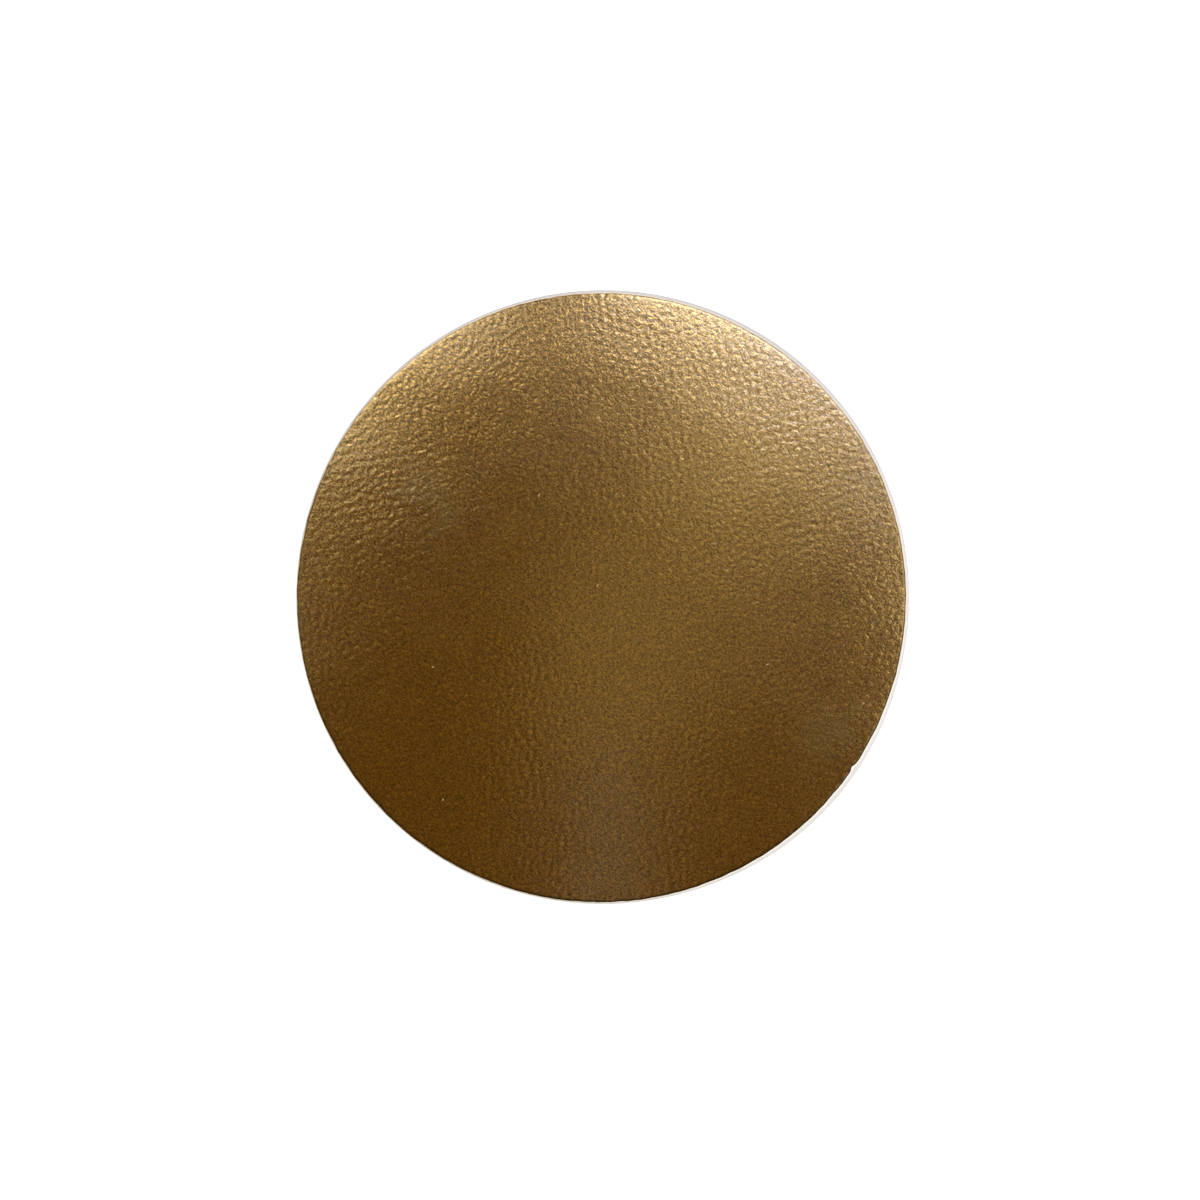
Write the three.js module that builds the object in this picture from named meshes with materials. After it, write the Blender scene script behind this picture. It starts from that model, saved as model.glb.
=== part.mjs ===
// Round cake board: one disc of white paperboard, die-cut after a sheet of gold foil was laminated on its face.
// Millimetres, +Z up. The origin is the centre of the underside, which lies flat on the table at z = 0.

import * as THREE from 'three';

// Sizes
const boardDiameter = 152; // widest, at the foot of the cut edge
const boardThickness = 3;
const edgeSetBack = 0.6; // the cutting die crushes the rim, so the gold face ends this much inside the foot
const foilRollRadius = 0.5; // the foil is pressed down over the face's edge
const footRadius = 0.25; // worn corner between the cut edge and the underside

// Fineness of the mesh
const rimFacets = 120;
const cornerSteps = 4;

// Finish of the foil
const goldColour = 0xb28744;
const goldRoughness = 0.38;
const goldMetalness = 1;

// Points of a round corner: an arc about (centreX, centreY) from one angle to another, both in radians.
function roundCorner(centreX, centreY, radius, fromAngle, toAngle) {
  const points = [];
  for (let step = 0; step <= cornerSteps; step += 1) {
    const angle = fromAngle + ((toAngle - fromAngle) * step) / cornerSteps;
    points.push(new THREE.Vector2(centreX + radius * Math.cos(angle), centreY + radius * Math.sin(angle)));
  }
  return points;
}

// Half section of the disc, as (distance from the axis, height): along the underside, round the foot,
// up the leaning cut edge, round the rolled foil and back along the face to the axis.
// The cut edge leans in by leanAngle and touches both corner arcs, which places the upper arc.
function halfSection() {
  const leanAngle = Math.atan(edgeSetBack / boardThickness);
  const footCentreX = boardDiameter / 2 - footRadius;
  const rollCentreY = boardThickness - foilRollRadius;
  const rollCentreX =
    footCentreX
    + (footRadius - foilRollRadius) / Math.cos(leanAngle)
    - (rollCentreY - footRadius) * Math.tan(leanAngle);
  return [
    new THREE.Vector2(0, 0),
    ...roundCorner(footCentreX, footRadius, footRadius, -Math.PI / 2, leanAngle),
    ...roundCorner(rollCentreX, rollCentreY, foilRollRadius, leanAngle, Math.PI / 2),
    new THREE.Vector2(0, boardThickness),
  ];
}

// The disc is the half section turned once round the axis. A lathe turns about Y, so it is then stood along Z.
function cakeBoard() {
  const geometry = new THREE.LatheGeometry(halfSection(), rimFacets);
  geometry.rotateX(Math.PI / 2);
  const foil = new THREE.MeshStandardMaterial({
    color: goldColour,
    roughness: goldRoughness,
    metalness: goldMetalness,
  });
  const board = new THREE.Mesh(geometry, foil);
  board.name = 'cake_board';
  return board;
}

const part = new THREE.Group();
part.add(cakeBoard());

export default part;
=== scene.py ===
import math

import bpy
import numpy as np
from mathutils import Matrix, Vector


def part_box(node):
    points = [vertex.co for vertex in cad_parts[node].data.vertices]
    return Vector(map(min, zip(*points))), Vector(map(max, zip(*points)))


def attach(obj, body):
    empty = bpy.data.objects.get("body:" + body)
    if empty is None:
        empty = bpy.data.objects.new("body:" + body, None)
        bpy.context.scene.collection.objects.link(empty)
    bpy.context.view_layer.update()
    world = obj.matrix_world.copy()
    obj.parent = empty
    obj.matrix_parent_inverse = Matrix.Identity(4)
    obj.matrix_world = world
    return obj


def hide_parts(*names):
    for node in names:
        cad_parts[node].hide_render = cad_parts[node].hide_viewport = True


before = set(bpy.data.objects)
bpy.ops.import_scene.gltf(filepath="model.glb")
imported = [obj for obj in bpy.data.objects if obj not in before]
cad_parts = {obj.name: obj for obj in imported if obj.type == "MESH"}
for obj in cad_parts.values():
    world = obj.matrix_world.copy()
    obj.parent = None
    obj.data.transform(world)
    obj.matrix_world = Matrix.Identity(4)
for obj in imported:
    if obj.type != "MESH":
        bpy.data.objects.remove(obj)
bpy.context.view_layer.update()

# The camera
# It looks down on the board from far off, leaning a little towards the picture's lower right, so that the
# white cut edge shows there. The picture's right is +X and its top is +Y.
camera_distance = 2.5
camera_lean = math.radians(4.5)
camera_lean_heading = math.radians(-42.0)
face_share_of_frame = 610 / 1200
sensor_width = 36.0

low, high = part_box("cake_board")
board_radius = (high.x - low.x) / 2
board_thickness = high.z - low.z
mm = 0.001
mean_set_back = 0.72 * mm

target = Vector((-0.25 * mm, -1.0 * mm, board_thickness))
away = Vector((
    math.sin(camera_lean) * math.cos(camera_lean_heading),
    math.sin(camera_lean) * math.sin(camera_lean_heading),
    math.cos(camera_lean),
))
picture_up = (Vector((0, 1, 0)) - away * away.y).normalized()
picture_right = picture_up.cross(away)
frame_width = 2 * (board_radius - mean_set_back) / face_share_of_frame

camera = bpy.data.objects.new("camera", bpy.data.cameras.new("camera"))
camera.data.sensor_width = sensor_width
camera.data.lens = sensor_width * camera_distance / frame_width
camera.data.clip_end = 10
turn = Matrix((picture_right, picture_up, away)).transposed().to_4x4()
camera.matrix_world = Matrix.Translation(target + away * camera_distance) @ turn
bpy.context.scene.collection.objects.link(camera)
bpy.context.scene.camera = camera

# The board's body
# One disc of white paperboard with gold foil laminated on its face, cut out by a die. The die crushes the
# rim, so the cut edge leans in towards the face, more on one side, and the foil is pressed over its corner.
face_steps = 270  # squares across the face
roll_steps = 6
wall_steps = 8
foot_steps = 4
underside_shares = (0.995, 0.7, 0.4, 0.15)
roll_radius = 0.30 * mm
foot_radius = 0.25 * mm
least_set_back = 0.62 * mm
tremble_depth = 0.035 * mm
pebble_length = 2.0 * mm
pebble_height = 0.009 * mm
wave_length = 26 * mm
wave_height = 0.012 * mm
fibre_height = 0.03 * mm
speck_places = [(-15.2, 24.9), (-1.0, 2.6), (41.1, -16.9), (-41.4, -17.5), (-39.0, -50.2), (64.6, -26.9)]
scuff_radius = 7.0 * mm
scuff_places = [(-47.0, 27.0), (-42.0, 18.0), (60.0, -30.0), (55.0, -38.0)]


def wave_field(x, y, wavelength, spread, count, seed):
    """Random bumps of about one size: a sum of plane waves with random headings and phases, whose lengths
    lie within the given share of the wavelength, scaled to a standard deviation of one."""
    draw = np.random.default_rng(seed)
    field = np.zeros_like(x)
    for heading, phase, off in draw.uniform(-1, 1, (count, 3)):
        heading, phase = heading * np.pi, phase * np.pi
        length = wavelength * (1 + spread * off)
        field += np.cos(2 * np.pi * (x * np.cos(heading) + y * np.sin(heading)) / length + phase)
    return field * np.sqrt(2 / count)


def square_on_disc(steps):
    """A grid on the unit disc: each square ring of a square grid is bent into a circle, its corners kept at
    the diagonals and its sides spread evenly in angle, so that all the cells have about the same area."""
    line = np.linspace(-1, 1, steps + 1)
    across, along = np.meshgrid(line, line)
    wide = np.abs(across) >= np.abs(along)
    reach = np.where(wide, across, along)
    other = np.where(wide, along, across)
    ratio = np.divide(other, reach, out=np.zeros_like(reach), where=reach != 0)
    angle = np.where(wide, ratio * np.pi / 4, np.pi / 2 - ratio * np.pi / 4)
    return reach * np.cos(angle), reach * np.sin(angle)


def rim_of_grid(steps):
    """The numbers of the grid's outer points, once round, anticlockwise."""
    number = np.arange((steps + 1) ** 2).reshape(steps + 1, steps + 1)
    return np.concatenate((number[0, :-1], number[:-1, -1], number[-1, :0:-1], number[:0:-1, 0]))


def swell(angle, heading, tightness):
    """A smooth bump round the rim: one at its heading, in degrees, and narrower as the tightness grows."""
    return np.exp(tightness * (np.cos(angle - np.radians(heading)) - 1))


def set_back_at(angle):
    """How far the face ends inside the board's radius: wider at the picture's top, narrower at its bottom,
    with a tremble of the cut and one small nick."""
    tremble = wave_field(np.cos(angle), np.sin(angle), 0.09, 0.6, 24, 5) * tremble_depth
    uneven = 0.42 * swell(angle, 60, 3) + 0.25 * swell(angle, 135, 4) - 0.24 * swell(angle, -105, 3)
    nick = 0.4 * swell(angle, -34.4, 20000)
    return least_set_back + (uneven + nick) * mm + tremble


def foot_at(angle):
    """Radius of the foot of the cut edge: the crushed plies bulge out at the picture's lower right."""
    return board_radius + (0.6 * swell(angle, -42, 10) - 0.3 * swell(angle, 180, 2)) * mm


def relief_at(x, y):
    """Height of the foil: pebbles pressed in by the embossing roller, on a slow unevenness of the board."""
    pebbles = wave_field(x, y, pebble_length, 0.35, 90, 1)
    waves = wave_field(x, y, wave_length, 0.5, 24, 2)
    return pebble_height * (pebbles - 0.12 * pebbles**2) + wave_height * waves


def add_marks(mesh, points, face_count, rim):
    """Values that the foil's material reads: its bright specks, each at the nearest point of the face, its
    dull scuffs, and painted shade on the rolled edge, a dark line which fades out towards the picture's top."""
    flat = points[:, None, :2]
    speck = np.zeros(len(points))
    speck[np.linalg.norm(flat[:face_count] - np.array(speck_places) * mm, axis=2).argmin(0)] = 1
    scuff_gaps = np.linalg.norm(flat - np.array(scuff_places) * mm, axis=2)
    scuff = np.exp(-((scuff_gaps / scuff_radius) ** 2)).sum(1)
    angle = np.arctan2(points[:, 1], points[:, 0])
    rolled = np.where(np.arange(len(points)) < face_count, 0.0, 1.0)
    rolled[rim] = 0.5
    # Painted shade on the rolled foil: dark away from the picture's top, where the light comes from, and
    # none at the top.
    painted_rim_shade = rolled * np.clip(1.25 - 1.7 * swell(angle, 85, 1.1), 0, 1)
    for name, values in (("speck", speck), ("scuff", scuff), ("painted_rim_shade", painted_rim_shade)):
        mesh.attributes.new(name, "FLOAT", "POINT").data.foreach_set("value", values.astype(np.float32))


def board_mesh():
    """The face is the grid on a disc, lifted by the relief. From its rim, rings run over the rolled foil,
    down the leaning cut edge, round the foot and in along the underside to a last point on the axis."""
    unit_x, unit_y = square_on_disc(face_steps)
    unit_x, unit_y = unit_x.ravel(), unit_y.ravel()
    rim = rim_of_grid(face_steps)
    angle = np.arctan2(unit_y, unit_x)
    face_radius = board_radius - set_back_at(angle) - roll_radius
    face_x, face_y = unit_x * face_radius, unit_y * face_radius
    face = np.stack((face_x, face_y, board_thickness + relief_at(face_x, face_y)), 1)

    around = angle[rim]
    edge_radius = face_radius[rim]
    rim_relief = relief_at(face_x[rim], face_y[rim])
    rings = []
    for step in range(1, roll_steps + 1):
        slope = np.pi / 2 * (1 - step / roll_steps)
        out = (roll_radius + rim_relief) * np.cos(slope)
        up = (roll_radius + rim_relief) * np.sin(slope)
        rings.append((edge_radius + out, board_thickness - roll_radius + up))
    top_out, top_up = rings[-1]
    foot_out = foot_at(around)
    foot_up = np.full_like(around, foot_radius)
    for step in range(1, wall_steps + 1):
        share = step / wall_steps
        up = top_up + (foot_up - top_up) * share
        rough = wave_field(around * board_radius, up, 0.9 * mm, 0.6, 30, 3) * fibre_height
        rough = rough * np.sin(np.pi * share) ** 0.5
        rings.append((top_out + (foot_out - top_out) * share + rough, up))
    for step in range(1, foot_steps + 1):
        slope = -np.pi / 2 * step / foot_steps
        rings.append((
            foot_out - foot_radius + foot_radius * np.cos(slope),
            foot_radius + foot_radius * np.sin(slope) + 0 * around,
        ))
    for share in underside_shares:
        rings.append(((foot_out - foot_radius) * share, 0 * around))

    ring_points = [np.stack((out * np.cos(around), out * np.sin(around), up), 1) for out, up in rings]
    centre = np.zeros((1, 3))
    points = np.concatenate([face, *ring_points, centre])

    number = np.arange(len(face)).reshape(face_steps + 1, face_steps + 1)
    corners = (number[:-1, :-1], number[:-1, 1:], number[1:, 1:], number[1:, :-1])
    face_quads = np.stack(corners, -1).reshape(-1, 4)
    ring_count = len(rim)
    upper = rim
    strips = []
    for step in range(len(rings)):
        lower = len(face) + step * ring_count + np.arange(ring_count)
        strips.append(np.stack((upper, lower, np.roll(lower, -1), np.roll(upper, -1)), 1))
        upper = lower
    last = np.stack((np.roll(upper, -1), upper, np.full(ring_count, len(points) - 1)), 1)
    quads = np.concatenate([face_quads, *strips])

    mesh = bpy.data.meshes.new("board_and_foil")
    mesh.from_pydata(points.tolist(), [], quads.tolist() + last.tolist())
    foil_faces = len(face_quads) + roll_steps * ring_count
    finish = np.ones(len(mesh.polygons), np.int32)
    finish[:foil_faces] = 0
    mesh.polygons.foreach_set("material_index", finish)
    mesh.polygons.foreach_set("use_smooth", np.ones(len(mesh.polygons), bool))
    add_marks(mesh, points, len(face), rim)
    mesh.update()
    return mesh


board = bpy.data.objects.new("board_and_foil", board_mesh())
bpy.context.scene.collection.objects.link(board)

# The gold foil
# A thin metallised film on the board's face, under a clear gloss lacquer. The embossing roller leaves closed
# pebbles about 2 mm across, a little wider than high, with a finer grain on them and between them.


class Wire:
    """An output of a node tree. Arithmetic on wires and numbers adds the Math nodes that work it out."""

    def __init__(self, socket):
        self.socket = socket

    def maths(self, operation, left, right):
        tree = self.socket.id_data
        node = tree.nodes.new("ShaderNodeMath")
        node.operation = operation
        for place, value in enumerate((left, right)):
            if isinstance(value, Wire):
                tree.links.new(value.socket, node.inputs[place])
            else:
                node.inputs[place].default_value = value
        return Wire(node.outputs[0])

    def __add__(self, other):
        return self.maths("ADD", self, other)

    def __radd__(self, other):
        return self.maths("ADD", other, self)

    def __sub__(self, other):
        return self.maths("SUBTRACT", self, other)

    def __rsub__(self, other):
        return self.maths("SUBTRACT", other, self)

    def __mul__(self, other):
        return self.maths("MULTIPLY", self, other)

    def __rmul__(self, other):
        return self.maths("MULTIPLY", other, self)


class Finish:
    """A material or the world, as a node tree with one method that adds a node."""

    def __init__(self, owner):
        owner.use_nodes = True
        self.owner = owner
        self.tree = owner.node_tree
        self.tree.nodes.clear()

    def node(self, kind, settings=None, sockets=None, output=0):
        """Adds a node of this kind, sets its settings first and then its sockets, by value or by wire, and
        returns the wire of one of its outputs, or the node itself where it has none."""
        node = self.tree.nodes.new(kind)
        for name, value in (settings or {}).items():
            setattr(node, name, value)
        for name, value in (sockets or {}).items():
            if isinstance(value, Wire):
                self.tree.links.new(value.socket, node.inputs[name])
            else:
                node.inputs[name].default_value = value
        return Wire(node.outputs[output]) if node.outputs else node


def smooth_step(finish, value, begin, end, first=0.0, last=1.0):
    """A value that goes smoothly from first to last while another goes from begin to end."""
    return finish.node(
        "ShaderNodeMapRange",
        {"interpolation_type": "SMOOTHSTEP"},
        {"Value": value, "From Min": begin, "From Max": end, "To Min": first, "To Max": last},
    )


foil = Finish(bpy.data.materials.new("gold_foil"))
place = foil.node("ShaderNodeTexCoord", output="Object")
# Painted shade and highlight: the foil's colour is a lit gold and a shaded gold, mixed by the relief below.
lit_gold_colour = (0.71, 0.455, 0.115, 1.0)
shaded_gold_colour = (0.175, 0.097, 0.011, 1.0)
painted_rim_shade_colour = (0.04, 0.026, 0.009, 1.0)
speck_colour = (0.62, 0.50, 0.28, 1.0)
scuff_colour = (0.50, 0.38, 0.20, 1.0)
pebble_scale = 1 / (1.5 * mm)
stroke_scale = 1 / (0.72 * mm)
grain_scale = 1 / (0.42 * mm)
bend_scale = 1 / (1.4 * mm)
cloud_scale = 1 / (9 * mm)
bend = foil.node(
    "ShaderNodeTexNoise",
    {},
    {"Vector": place, "Scale": bend_scale, "Detail": 1.0, "Roughness": 0.5},
    output="Color",
)
bend = foil.node("ShaderNodeVectorMath", {"operation": "SUBTRACT"}, {0: bend, 1: (0.5, 0.5, 0.5)})
bend = foil.node("ShaderNodeVectorMath", {"operation": "MULTIPLY"}, {0: bend, 1: (0.6 * mm, 0.6 * mm, 0.0)})
bent_place = foil.node("ShaderNodeVectorMath", {"operation": "ADD"}, {0: place, 1: bend})
wide_place = foil.node(
    "ShaderNodeVectorMath", {"operation": "MULTIPLY"}, {0: bent_place, 1: (0.8, 1.0, 1.0)}
)
pebble = foil.node(
    "ShaderNodeTexVoronoi",
    {"feature": "DISTANCE_TO_EDGE"},
    {"Vector": wide_place, "Scale": pebble_scale},
    output="Distance",
)
dome = smooth_step(foil, pebble, 0.0, 0.38)
slanted_place = foil.node(
    "ShaderNodeMapping",
    {"vector_type": "TEXTURE"},
    {"Vector": bent_place, "Rotation": (0.0, 0.0, math.radians(-42.0)), "Scale": (1.0, 0.42, 1.0)},
)
stroke = foil.node(
    "ShaderNodeTexNoise",
    {},
    {"Vector": slanted_place, "Scale": stroke_scale, "Detail": 1.5, "Roughness": 0.55},
)
grain = foil.node(
    "ShaderNodeTexNoise", {}, {"Vector": place, "Scale": grain_scale, "Detail": 1.0, "Roughness": 0.5}
)
cloud = foil.node(
    "ShaderNodeTexNoise", {}, {"Vector": place, "Scale": cloud_scale, "Detail": 4.0, "Roughness": 0.6}
)
speck = foil.node("ShaderNodeAttribute", {"attribute_name": "speck"}, output="Fac")
bare = smooth_step(foil, speck, 0.3, 0.9)
scuff = foil.node("ShaderNodeAttribute", {"attribute_name": "scuff"}, output="Fac")
painted_rim_shade = foil.node("ShaderNodeAttribute", {"attribute_name": "painted_rim_shade"}, output="Fac")
# Painted shade and highlight of the embossing: darker where the strokes, the grain and the pebbles' grooves
# lie low, lighter where they stand high.
stroke_shade = smooth_step(foil, stroke, 0.38, 0.62)
grain_shade = smooth_step(foil, grain, 0.38, 0.62)
relief_shade = stroke_shade * 0.50 + grain_shade * 0.30 + dome * 0.20
colour = foil.node(
    "ShaderNodeMix",
    {"data_type": "RGBA"},
    {"Factor": relief_shade, "A": shaded_gold_colour, "B": lit_gold_colour},
    output="Result",
)
colour = foil.node(
    "ShaderNodeMix",
    {"data_type": "RGBA"},
    {"Factor": scuff * smooth_step(foil, cloud, 0.3, 0.7) * 0.45, "A": colour, "B": scuff_colour},
    output="Result",
)
# Painted shade: the rolled edge darkens where it turns away from the light, and loses its gloss coat there.
colour = foil.node(
    "ShaderNodeMix",
    {"data_type": "RGBA"},
    {"Factor": painted_rim_shade, "A": colour, "B": painted_rim_shade_colour},
    output="Result",
)
colour = foil.node(
    "ShaderNodeMix",
    {"data_type": "RGBA"},
    {"Factor": bare, "A": colour, "B": speck_colour},
    output="Result",
)
height = dome * 0.016 * mm + stroke * 0.017 * mm + grain * 0.003 * mm
bump = foil.node("ShaderNodeBump", {}, {"Height": height, "Strength": 1.0, "Distance": 1.0})
surface = foil.node("ShaderNodeBsdfPrincipled", {}, {
    "Base Color": colour,
    "Metallic": 1.0 - bare,
    "Specular Tint": (0.95, 0.82, 0.55, 1.0),
    "Roughness": 0.15 + 0.09 * cloud + 0.5 * bare,
    "Coat Weight": 1.0 - painted_rim_shade,
    "Coat Roughness": 0.18,
    "Coat IOR": 1.75,
    "Normal": bump,
})
foil.node("ShaderNodeOutputMaterial", {}, {"Surface": surface})

# The white paperboard
# Pressed paper fibre, in plies that show as faint lines along the cut edge, cream beside the foil and greyer
# at the foot, a grey that is painted shade. The underside is the same paper, plain, and as grey as the foot.
paper = Finish(bpy.data.materials.new("white_paperboard"))
place = paper.node("ShaderNodeTexCoord", output="Object")
cream_colour = (0.95, 0.93, 0.85, 1.0)
foot_shade_colour = (0.71, 0.72, 0.73, 1.0)
ply_scale = (90.0, 90.0, 3200.0)
fibre_scale = 1400.0
ply_place = paper.node("ShaderNodeVectorMath", {"operation": "MULTIPLY"}, {0: place, 1: ply_scale})
plies = paper.node(
    "ShaderNodeTexNoise", {}, {"Vector": ply_place, "Scale": 1.0, "Detail": 2.0, "Roughness": 0.5}
)
fibres = paper.node(
    "ShaderNodeTexNoise", {}, {"Vector": place, "Scale": fibre_scale, "Detail": 3.0, "Roughness": 0.6}
)
level = paper.node("ShaderNodeSeparateXYZ", {}, {"Vector": place}, output="Z")
# Painted shade: the paper darkens to grey towards the foot of the cut edge and on the underside.
clear_of_foot_shade = smooth_step(paper, level, 1.5 * mm, 2.3 * mm, 0.25, 0.9)
paleness = clear_of_foot_shade + (plies - 0.5) * 0.7 + (fibres - 0.5) * 0.5
colour = paper.node(
    "ShaderNodeMix",
    {"data_type": "RGBA", "clamp_factor": True},
    {"Factor": paleness, "A": foot_shade_colour, "B": cream_colour},
    output="Result",
)
relief = fibres * 0.03 * mm + plies * 0.05 * mm
bump = paper.node("ShaderNodeBump", {}, {"Height": relief, "Strength": 1.0, "Distance": 1.0})
surface = paper.node("ShaderNodeBsdfPrincipled", {}, {
    "Base Color": colour,
    "Roughness": 0.85,
    "Normal": bump,
})
paper.node("ShaderNodeOutputMaterial", {}, {"Surface": surface})

board.data.materials.append(foil.owner)
board.data.materials.append(paper.owner)
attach(board, "root")
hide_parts("cake_board")

# The floor
# A plain white table top that the board lies on. To the camera and in reflections it also gives off some
# light, so that it is white where nothing shades it. It is clear from below and open under the board, which
# covers the opening, so that the underside can be seen and lit from below too.
floor_radius = 3.0
opening_radius = board_radius - 0.8 * mm
floor_level = -0.1 * mm
floor_sides = 96
turn = np.linspace(0, 2 * np.pi, floor_sides, endpoint=False)
circle = np.stack((np.cos(turn), np.sin(turn)), 1)
level = np.full((floor_sides, 1), floor_level)
opening = np.hstack((circle * opening_radius, level))
border = np.hstack((circle * floor_radius, level))
outline = np.concatenate((opening, border))
inner = np.arange(floor_sides)
beside = np.roll(inner, -1)
sheets = np.stack((inner, inner + floor_sides, beside + floor_sides, beside), 1)
floor_mesh = bpy.data.meshes.new("floor")
floor_mesh.from_pydata(outline.tolist(), [], sheets.tolist())
floor = bpy.data.objects.new("floor", floor_mesh)
bpy.context.scene.collection.objects.link(floor)
floor_finish = Finish(bpy.data.materials.new("white_table"))
light_path = floor_finish.tree.nodes.new("ShaderNodeLightPath")
seen = Wire(light_path.outputs["Is Camera Ray"]) + Wire(light_path.outputs["Is Glossy Ray"])
seen = seen + Wire(light_path.outputs["Is Transmission Ray"])
table_top = floor_finish.node("ShaderNodeBsdfPrincipled", {}, {
    "Base Color": (0.88, 0.88, 0.88, 1.0),
    "Roughness": 0.9,
    "Emission Color": (1.0, 1.0, 1.0, 1.0),
    "Emission Strength": seen * 0.7,
})
from_below = floor_finish.node("ShaderNodeNewGeometry", output="Backfacing")
clear = floor_finish.node("ShaderNodeBsdfTransparent")
surface = floor_finish.node("ShaderNodeMixShader", {}, {0: from_below, 1: table_top, 2: clear})
floor_finish.node("ShaderNodeOutputMaterial", {}, {"Surface": surface})
floor.data.materials.append(floor_finish.owner)

# The light
# Soft panels hang in an arch low over the board, from the picture's left round its top to its right, where
# their reflections make the two bright corners. Dim ones over the middle and the lower half make the faint
# upright band.
panel_height = 0.22
panels = (
    # name, x, y, width, length, radiance, share of blue
    ("panel_top", 0.015, 0.115, 0.05, 0.05, 4.1, 1.45),
    ("panel_top_right", 0.055, 0.098, 0.05, 0.05, 2.9, 2.3),
    ("panel_right", 0.085, 0.065, 0.05, 0.05, 1.3, 1.7),
    ("panel_far_right", 0.105, 0.02, 0.05, 0.06, 1.75, 1.1),
    ("panel_lower_right", 0.11, -0.06, 0.06, 0.07, 0.9, 1.1),
    ("panel_inner", 0.03, 0.055, 0.05, 0.05, 0.50, 0.6),
    ("panel_outer", 0.115, 0.115, 0.12, 0.12, 1.0, 1.3),
    ("panel_top_left", -0.055, 0.095, 0.028, 0.028, 2.4, 1.1),
    ("panel_far_top_left", -0.095, 0.105, 0.045, 0.045, 5.2, 1.2),
    ("panel_left", -0.09, 0.06, 0.028, 0.028, 1.5, 1.0),
    ("panel_far_left", -0.12, 0.02, 0.05, 0.06, 0.36, 1.0),
    ("panel_low", -0.008, -0.002, 0.04, 0.055, 0.22, 0.6),
    ("panel_middle", 0.030, 0.008, 0.03, 0.05, 0.13, 0.8),
    ("panel_top_middle", -0.008, 0.062, 0.04, 0.04, 0.12, 0.9),
    ("panel_bottom", -0.011, -0.072, 0.012, 0.10, 0.34, 1.3),
)
edge_panel_place = Vector((0.50, -0.45, 0.22))
edge_panel_size = (0.50, 0.25)
edge_panel_radiance = 4.6
edge_panel_colour = (0.95, 1.0, 1.08)


def soft_panel(name, place, size, radiance, colour):
    """A flat lamp of this width and length that hangs level and shines down. Its power is its radiance times
    its area times pi."""
    lamp = bpy.data.lights.new(name, "AREA")
    lamp.shape = "RECTANGLE"
    lamp.size, lamp.size_y = size
    lamp.energy = radiance * math.pi * size[0] * size[1]
    lamp.color = colour
    panel = bpy.data.objects.new(name, lamp)
    panel.location = place
    panel.visible_camera = False
    bpy.context.scene.collection.objects.link(panel)
    return panel


for name, x, y, width, length, radiance, blue in panels:
    colour = (0.95, 1.0 + (blue - 1.0) / 8, blue)
    soft_panel(name, (x, y, panel_height), (width, length), radiance, colour)

# A larger panel stands low beyond the picture's lower right and lights the white cut edge there. It is kept
# out of the foil's reflections, which it would fill with glare in views from the far side.
edge_panel = soft_panel(
    "edge_panel", edge_panel_place, edge_panel_size, edge_panel_radiance, edge_panel_colour
)
edge_panel.rotation_euler = edge_panel_place.to_track_quat("Z", "Y").to_euler()
edge_panel.visible_glossy = False

# The soft sky
# Light from all round, as in a pale room: white at the horizon, about half as bright from below, and grey
# higher up, brighter towards the picture's top. Overhead it is a dim warm brown, which the foil reflects.
world = Finish(bpy.data.worlds.new("studio"))
bpy.context.scene.world = world.owner
direction = world.node("ShaderNodeTexCoord", output="Generated")
up = world.node("ShaderNodeSeparateXYZ", {}, {"Vector": direction}, output="Z")
light_heading = (0.45, 0.89, 0.0)
towards_light = world.node(
    "ShaderNodeVectorMath",
    {"operation": "DOT_PRODUCT"},
    {0: direction, 1: light_heading},
    output="Value",
)
horizon = smooth_step(world, up, 0.06, 0.30, 1.0, 0.0) * smooth_step(world, up, -0.4, -0.05, 0.55, 1.0)
wall = smooth_step(world, towards_light, -0.5, 0.8, 0.5, 0.95)
sky = wall * smooth_step(world, up, 0.45, 0.85, 1.0, 0.0)
brightness = horizon + (1.0 - horizon) * sky
zenith_colour = (0.180, 0.103, 0.016, 1.0)
glow = world.node(
    "ShaderNodeMix",
    {"data_type": "RGBA", "blend_type": "ADD"},
    {"Factor": 1.0, "A": zenith_colour, "B": brightness},
    output="Result",
)
background = world.node("ShaderNodeBackground", {}, {"Color": glow, "Strength": 1.0})
world.node("ShaderNodeOutputWorld", {}, {"Surface": background})

bpy.context.scene.view_settings.view_transform = "Standard"
